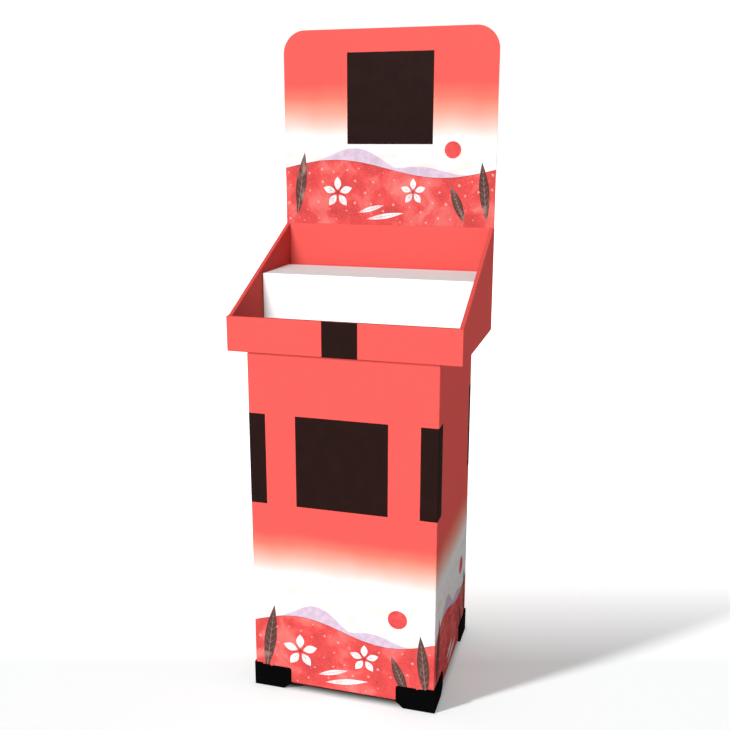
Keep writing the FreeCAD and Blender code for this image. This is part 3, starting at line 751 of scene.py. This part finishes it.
def flower_tree(material):
    """Scatters small five-petalled flowers over the faces that it gets."""
    tree = bpy.data.node_groups.new("scattered_flowers", "GeometryNodeTree")
    ports = tree.interface
    ports.new_socket("Geometry", in_out="INPUT", socket_type="NodeSocketGeometry")
    for name, value in (("Flower radius", 0.003), ("Least distance", 0.02), ("Ink thickness", 0.0001)):
        port = ports.new_socket(name, in_out="INPUT", socket_type="NodeSocketFloat")
        port.default_value = value
    seed = ports.new_socket("Seed", in_out="INPUT", socket_type="NodeSocketInt")
    seed.default_value = 7
    ports.new_socket("Geometry", in_out="OUTPUT", socket_type="NodeSocketGeometry")

    def node(kind, **options):
        made = tree.nodes.new(kind)
        for key, value in options.items():
            setattr(made, key, value)
        return made

    def link(start, end):
        tree.links.new(start, end)

    given, result = node("NodeGroupInput"), node("NodeGroupOutput")
    circle = node("GeometryNodeMeshCircle", fill_type="NGON")
    circle.inputs["Vertices"].default_value = 20
    link(given.outputs["Flower radius"], circle.inputs["Radius"])
    index = node("GeometryNodeInputIndex")
    turn = node("ShaderNodeMath", operation="MULTIPLY")
    turn.inputs[1].default_value = math.pi / 2
    link(index.outputs[0], turn.inputs[0])
    wave = node("ShaderNodeMath", operation="COSINE")
    link(turn.outputs[0], wave.inputs[0])
    scale = node("ShaderNodeMath", operation="MULTIPLY_ADD")
    scale.inputs[1].default_value, scale.inputs[2].default_value = 0.30, 0.70
    link(wave.outputs[0], scale.inputs[0])
    spot = node("GeometryNodeInputPosition")
    petal = node("ShaderNodeVectorMath", operation="SCALE")
    link(spot.outputs[0], petal.inputs[0])
    link(scale.outputs[0], petal.inputs["Scale"])
    shape = node("GeometryNodeSetPosition")
    link(circle.outputs[0], shape.inputs["Geometry"])
    link(petal.outputs[0], shape.inputs["Position"])
    raised = node("GeometryNodeExtrudeMesh", mode="FACES")
    link(shape.outputs[0], raised.inputs["Mesh"])
    link(given.outputs["Ink thickness"], raised.inputs["Offset Scale"])
    under = node("GeometryNodeFlipFaces")
    link(shape.outputs[0], under.inputs["Mesh"])
    joined = node("GeometryNodeJoinGeometry")
    link(raised.outputs["Mesh"], joined.inputs[0])
    link(under.outputs[0], joined.inputs[0])
    closed = node("GeometryNodeMergeByDistance")
    closed.inputs["Distance"].default_value = 0.000001
    link(joined.outputs[0], closed.inputs["Geometry"])
    points = node("GeometryNodeDistributePointsOnFaces", distribute_method="POISSON")
    link(given.outputs["Geometry"], points.inputs["Mesh"])
    link(given.outputs["Least distance"], points.inputs["Distance Min"])
    points.inputs["Density Max"].default_value = 9000.0
    link(given.outputs["Seed"], points.inputs["Seed"])
    chance = node("FunctionNodeRandomValue", data_type="FLOAT")
    chance.inputs[3].default_value = 6.2832
    link(given.outputs["Seed"], chance.inputs["Seed"])
    about = node("ShaderNodeCombineXYZ")
    link(chance.outputs[1], about.inputs[2])
    spun = node("FunctionNodeRotateRotation", rotation_space="LOCAL")
    link(points.outputs["Rotation"], spun.inputs[0])
    link(about.outputs[0], spun.inputs[1])
    size = node("FunctionNodeRandomValue", data_type="FLOAT")
    size.inputs[2].default_value, size.inputs[3].default_value = 0.45, 1.0
    link(given.outputs["Seed"], size.inputs["Seed"])
    placed = node("GeometryNodeInstanceOnPoints")
    link(points.outputs["Points"], placed.inputs["Points"])
    link(closed.outputs[0], placed.inputs["Instance"])
    link(spun.outputs[0], placed.inputs["Rotation"])
    link(size.outputs[1], placed.inputs["Scale"])
    real = node("GeometryNodeRealizeInstances")
    link(placed.outputs[0], real.inputs[0])
    finish = node("GeometryNodeSetMaterial")
    finish.inputs["Material"].default_value = material
    link(real.outputs[0], finish.inputs[0])
    link(finish.outputs[0], result.inputs[0])
    return tree


def grown_mesh(name, faces, tree, values):
    """Runs a geometry node tree over some faces and keeps its result as a plain mesh."""
    mesh = bpy.data.meshes.new(name + "_ground")
    corners = [corner for face in faces for corner in face]
    mesh.from_pydata(corners, [], [list(range(4 * k, 4 * k + 4)) for k in range(len(faces))])
    ground = bpy.data.objects.new(name + "_ground", mesh)
    bpy.context.scene.collection.objects.link(ground)
    modifier = ground.modifiers.new("grow", "NODES")
    modifier.node_group = tree
    for item in tree.interface.items_tree:
        if item.item_type == "SOCKET" and item.in_out == "INPUT" and item.name in values:
            modifier[item.identifier] = values[item.name]
    bpy.context.view_layer.update()
    evaluated = ground.evaluated_get(bpy.context.evaluated_depsgraph_get())
    result = bpy.data.meshes.new_from_object(evaluated)
    result.name = name
    bpy.data.objects.remove(ground)
    return result


class STAND_OT_draw_picture(bpy.types.Operator):
    """Draws the picture's fine shapes: veins, threads, ridges and small flowers"""
    bl_idname = "stand.draw_picture"
    bl_label = "Draw the picture's fine shapes"

    def execute(self, context):
        board, prints = context.scene.stand_board, context.scene.stand_print
        pale = flat_ink("ink_pale_brown", tuple(prints.vein), board)
        dark = flat_ink("ink_deep_red", shaded(tuple(prints.red), 0.55), board)
        mauve = flat_ink("ink_mauve", tuple(prints.mauve), board)
        rose = flat_ink("ink_rose", tuple(prints.rose), board)
        veins, threads, ridge, lines = bmesh.new(), bmesh.new(), bmesh.new(), bmesh.new()
        faces = []
        for panel in picture_panels():
            for leaf in LEAVES:
                leaf_veins(veins, panel, leaf, 8)
            for feather in FEATHERS:
                leaf_veins(lines, panel, feather, 7)
            crest_line(threads, panel, 0.0008)
            for first, last, rise, lift in RIDGES:
                far_ridge(ridge, panel, first, last, rise, lift)
            if panel.with_blossoms:
                for blossom in BLOSSOMS:
                    stamens(threads, panel, blossom)
                    petal_lines(lines, panel, blossom)
            faces += flower_field(panel, FLOWER_CELL)
        add_piece("print_leaf_veins", finished_mesh(veins, "print_leaf_veins"), [pale])
        add_piece("print_threads", finished_mesh(threads, "print_threads"), [dark])
        add_piece("print_far_ridge", finished_mesh(ridge, "print_far_ridge"), [mauve])
        add_piece("print_petal_lines", finished_mesh(lines, "print_petal_lines"), [rose])
        tree = flower_tree(rose)
        values = {
            "Flower radius": prints.flower_radius,
            "Least distance": prints.flower_distance,
            "Seed": prints.flower_seed,
        }
        flowers = grown_mesh("print_small_flowers", faces, tree, values)
        add_piece("print_small_flowers", flowers, [])
        return {"FINISHED"}


class STAND_OT_finish_boards(bpy.types.Operator):
    """Paints the column, the tray, the step and the dividers"""
    bl_idname = "stand.finish_boards"
    bl_label = "Finish the boards"

    def execute(self, context):
        board, prints = context.scene.stand_board, context.scene.stand_print
        dress("column_sleeve", column_board(board, prints))
        dress("tray", tray_board(board))
        dress("riser", white_board(board))
        kraft = kraft_board(board)
        dress("divider_long", kraft)
        dress("divider_cross", kraft)
        return {"FINISHED"}


class STAND_OT_finish_print(bpy.types.Operator):
    """Paints the picture's fields and the black squares"""
    bl_idname = "stand.finish_print"
    bl_label = "Finish the print"

    def execute(self, context):
        board, prints = context.scene.stand_board, context.scene.stand_print
        skies = {
            "column": sky_print("column_print_sky", prints, board, COLUMN_FADE),
            "header": sky_print("header_print_sky", prints, board, HEADER_FADE),
        }
        red = hill_print(prints, board)
        white = motif_print("print_white", tuple(prints.white), (0.54, 0.54, 0.54), board)
        brown = motif_print("print_brown", tuple(prints.brown), (0.21, 0.12, 0.105), board)
        black = black_print(prints, board)
        for piece, sky in skies.items():
            for field in SKY_FIELDS:
                dress(piece + "_print_" + field, sky)
            for field, material in (("red", red), ("white", white), ("brown", brown), ("black", black)):
                dress(piece + "_print_" + field, material)
        dress("tray_print_black", black)
        return {"FINISHED"}


class STAND_OT_finish_plastic(bpy.types.Operator):
    """Gives the corner feet and the rivets their moulded plastic"""
    bl_idname = "stand.finish_plastic"
    bl_label = "Finish the plastic"

    def execute(self, context):
        plastic = context.scene.stand_plastic
        foot = moulded_plastic("black_moulded_plastic", tuple(plastic.foot), 0.5, plastic.texture_size, 0.02)
        for node in FOOT_NODES:
            dress(node, foot)
        rivet = moulded_plastic("natural_nylon", tuple(plastic.rivet), 0.35, plastic.texture_size * 2, 0.5)
        dress("tray_rivets", rivet)
        return {"FINISHED"}


# Stage

def pale_world(context, sky):
    """Light that is white near the horizon and weaker above, in front of a white ground."""
    world = bpy.data.worlds.new("pale_studio")
    world.use_nodes = True
    tree = world.node_tree
    coordinate = tree.nodes.new("ShaderNodeTexCoord")
    split = tree.nodes.new("ShaderNodeSeparateXYZ")
    tree.links.new(coordinate.outputs["Generated"], split.inputs[0])
    ramp = tree.nodes.new("ShaderNodeValToRGB")
    tree.links.new(split.outputs[2], ramp.inputs[0])
    first, last = ramp.color_ramp.elements
    first.position, first.color = 0.17, (1.02, 1.02, 1.02, 1.0)
    last.position, last.color = 0.3, (sky, sky, sky, 1.0)
    path = tree.nodes.new("ShaderNodeLightPath")
    seen = tree.nodes.new("ShaderNodeMix")
    seen.data_type = "RGBA"
    seen.inputs[7].default_value = (1.02, 1.02, 1.02, 1.0)
    tree.links.new(path.outputs["Is Camera Ray"], seen.inputs[0])
    tree.links.new(ramp.outputs[0], seen.inputs[6])
    tree.links.new(seen.outputs[2], tree.nodes["Background"].inputs[0])
    context.scene.world = world


def sun(context, name, direction, strength, angle):
    """A lamp that shines evenly in one direction."""
    light = bpy.data.lights.new(name, "SUN")
    light.energy = strength
    light.angle = math.radians(angle)
    lamp = bpy.data.objects.new(name, light)
    lamp.rotation_euler = Vector(direction).to_track_quat("-Z", "Y").to_euler()
    lamp.location = -3.0 * Vector(direction).normalized()
    context.scene.collection.objects.link(lamp)
    return lamp


def share_floor(lamp, floor, state):
    """Lets a lamp light only the floor, or everything but the floor."""
    lit = bpy.data.collections.new(lamp.name + "_receivers")
    lit.objects.link(floor)
    lit.collection_objects[0].light_linking.link_state = state
    lamp.light_linking.receiver_collection = lit


def floor_finish(stage):
    """White floor that glows a little, more so behind the stand, where the shadow fades out, with a painted
    contact shadow, dark and without glow, under and round the stand.
    """
    recipe = Recipe("white_floor", 1.0)
    width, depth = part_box("column_sleeve")[1][:2]
    beside = recipe.calc("SUBTRACT", recipe.size_of(recipe.x), width)
    before = recipe.calc("SUBTRACT", recipe.size_of(recipe.y), depth)
    # Painted contact shadow: this mask is 0 under and round the stand and 1 some 12 mm past its outline; it
    # darkens the floor and switches off its glow there
    clear = recipe.span(recipe.calc("MAXIMUM", beside, before), -0.018, 0.012)
    away = recipe.calc("ADD", recipe.both(recipe.x, -0.278), recipe.both(recipe.y, 0.96))
    fade = recipe.ease(away, -0.04, 0.34)
    glow = recipe.calc("MULTIPLY_ADD", fade, stage.far_glow - stage.near_glow, stage.near_glow)
    recipe.shader.inputs["Emission Color"].default_value = (1.0, 1.0, 1.0, 1.0)
    recipe.feed(recipe.shader.inputs["Emission Strength"], recipe.both(glow, clear))
    white = recipe.mix(recipe.noise(0.5, 3.0), (0.86, 0.90, 0.90), (0.87, 0.91, 0.91))
    # Dark colour of the painted contact shadow round the stand
    return recipe.finish(recipe.mix(clear, (0.17, 0.16, 0.16), white))


class STAND_OT_set_stage(bpy.types.Operator):
    """Lays the white floor and sets the lights and the camera"""
    bl_idname = "stand.set_stage"
    bl_label = "Set the stage"

    def execute(self, context):
        stage = context.scene.stand_stage
        floor_material = floor_finish(stage)
        mesh = bpy.data.meshes.new("studio_floor")
        count = 96
        rim = [(stage.floor_radius * math.cos(2 * math.pi * k / count),
                stage.floor_radius * math.sin(2 * math.pi * k / count), 0.0) for k in range(count)]
        mesh.from_pydata(rim, [], [list(range(count))])
        mesh.materials.append(floor_material)
        floor = bpy.data.objects.new("studio_floor", mesh)
        context.scene.collection.objects.link(floor)
        front = sun(context, "front_light", (0.12, 0.925, -0.36), stage.front_light, 24.0)
        share_floor(front, floor, "EXCLUDE")
        across = math.cos(math.radians(stage.shadow_height))
        down = math.sin(math.radians(stage.shadow_height))
        shadow = sun(context, "floor_light", (0.74 * across, 0.67 * across, -down), stage.floor_light, 5.5)
        share_floor(shadow, floor, "INCLUDE")
        pale_world(context, stage.sky)
        camera = bpy.data.cameras.new("camera")
        camera.lens = stage.focal_length
        camera.sensor_width = 36.0
        holder = bpy.data.objects.new("camera", camera)
        holder.location = (0.5355, -1.8544, 1.1734)
        holder.rotation_euler = (math.pi / 2 - 0.2415, 0.0, 0.2823)
        context.scene.collection.objects.link(holder)
        context.scene.camera = holder
        context.scene.view_settings.view_transform = "Standard"
        context.scene.view_settings.look = "None"
        return {"FINISHED"}


class STAND_PT_display_stand(bpy.types.Panel):
    """Steps and settings of the display stand"""
    bl_idname = "STAND_PT_display_stand"
    bl_label = "Display stand"
    bl_space_type = "VIEW_3D"
    bl_region_type = "UI"
    bl_category = "Display stand"

    def draw(self, context):
        for step in STEPS:
            self.layout.operator(step.bl_idname)
        for settings, name in SETTINGS:
            group = getattr(context.scene, name)
            box = self.layout.box()
            box.label(text=settings.__doc__)
            for key in settings.__annotations__:
                box.prop(group, key)


SETTINGS = (
    (StandBoardSettings, "stand_board"),
    (StandPrintSettings, "stand_print"),
    (StandPlasticSettings, "stand_plastic"),
    (StandStageSettings, "stand_stage"),
)
STEPS = (
    STAND_OT_finish_boards,
    STAND_OT_build_header_card,
    STAND_OT_finish_print,
    STAND_OT_draw_picture,
    STAND_OT_finish_plastic,
    STAND_OT_set_stage,
)


def register():
    for settings, name in SETTINGS:
        bpy.utils.register_class(settings)
        setattr(bpy.types.Scene, name, PointerProperty(type=settings))
    for step in STEPS:
        bpy.utils.register_class(step)
    bpy.utils.register_class(STAND_PT_display_stand)


def unregister():
    bpy.utils.unregister_class(STAND_PT_display_stand)
    for step in reversed(STEPS):
        bpy.utils.unregister_class(step)
    for settings, name in reversed(SETTINGS):
        delattr(bpy.types.Scene, name)
        bpy.utils.unregister_class(settings)


def main():
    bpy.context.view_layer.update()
    register()
    for step in STEPS:
        group, action = step.bl_idname.split(".")
        getattr(getattr(bpy.ops, group), action)()


if __name__ == "__main__":
    main()
